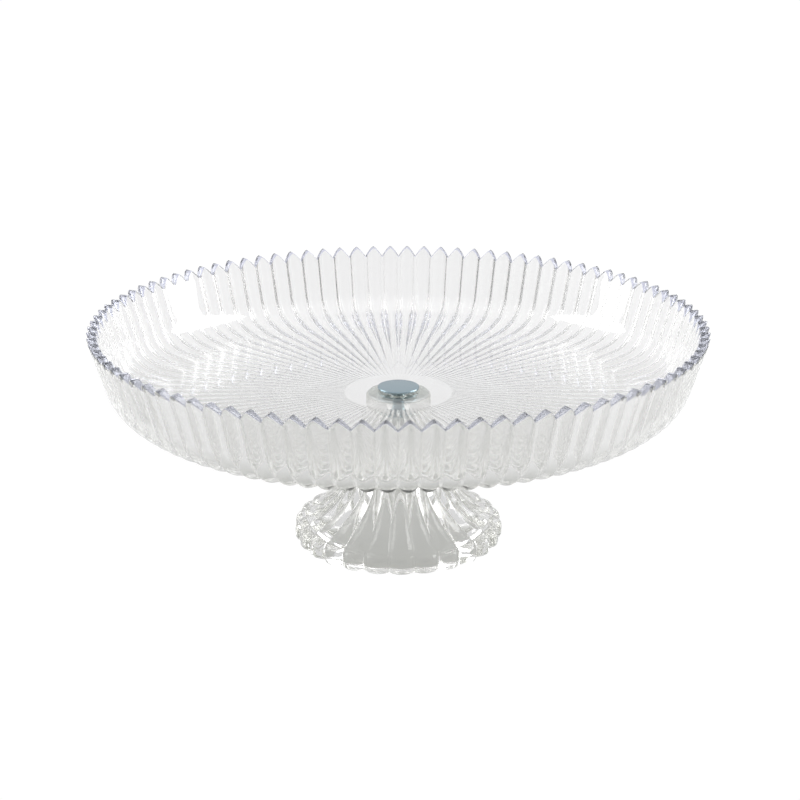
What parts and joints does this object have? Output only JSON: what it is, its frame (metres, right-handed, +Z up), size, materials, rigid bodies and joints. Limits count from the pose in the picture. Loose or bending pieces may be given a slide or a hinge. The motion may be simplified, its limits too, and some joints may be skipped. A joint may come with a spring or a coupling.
{
  "type": "cake stand",
  "caption": "Pressed clear-glass cake stand: wide ribbed dish with a toothed rim, bolted through its hub to a flared fluted hollow foot.",
  "frame": {"origin": "on the table, under the middle of the foot", "axes": "+Z up along the screw's axis, -Y towards the front, +X to the right"},
  "size_m": [0.2998, 0.2998, 0.1135],
  "materials": {
    "plate_glass": "clear pressed soda-lime glass, fire polished",
    "foot_glass": "clear pressed soda-lime glass, fire polished",
    "screw_chrome": "bright chrome plate",
    "clear_washer": "clear soft silicone",
    "zinc_steel": "bright zinc-plated steel"
  },
  "bodies": {
    "base": {"foot": "foot_glass", "neck_gasket": "clear_washer"},
    "dish": {"plate": "plate_glass"},
    "screw": {"cap_screw": "screw_chrome", "head_washer": "clear_washer"},
    "washers": {"base_washer": "clear_washer", "steel_washer": "zinc_steel"},
    "nut": {"nut": "zinc_steel"}
  },
  "joints": [
    {"name": "dish_lift", "type": "slide", "parent": "base", "child": "dish", "axis": [0, 0, 1], "range_m": [0, 0.06]},
    {"name": "screw_lift", "type": "slide", "parent": "dish", "child": "screw", "axis": [0, 0, 1], "range_m": [0, 0.04]},
    {"name": "nut_travel", "type": "slide", "parent": "base", "child": "washers", "axis": [0, 0, 1], "range_m": [-0.012, 0]},
    {"name": "nut_turn", "type": "hinge", "parent": "washers", "child": "nut", "pos_m": [0, 0, 0.0595], "axis": [0, 0, 1], "range_deg": [-4320, 0]}
  ],
  "couplings": [
    {"joint": "nut_turn", "follows": "nut_travel", "rad_per_m": 6283.2}
  ]
}
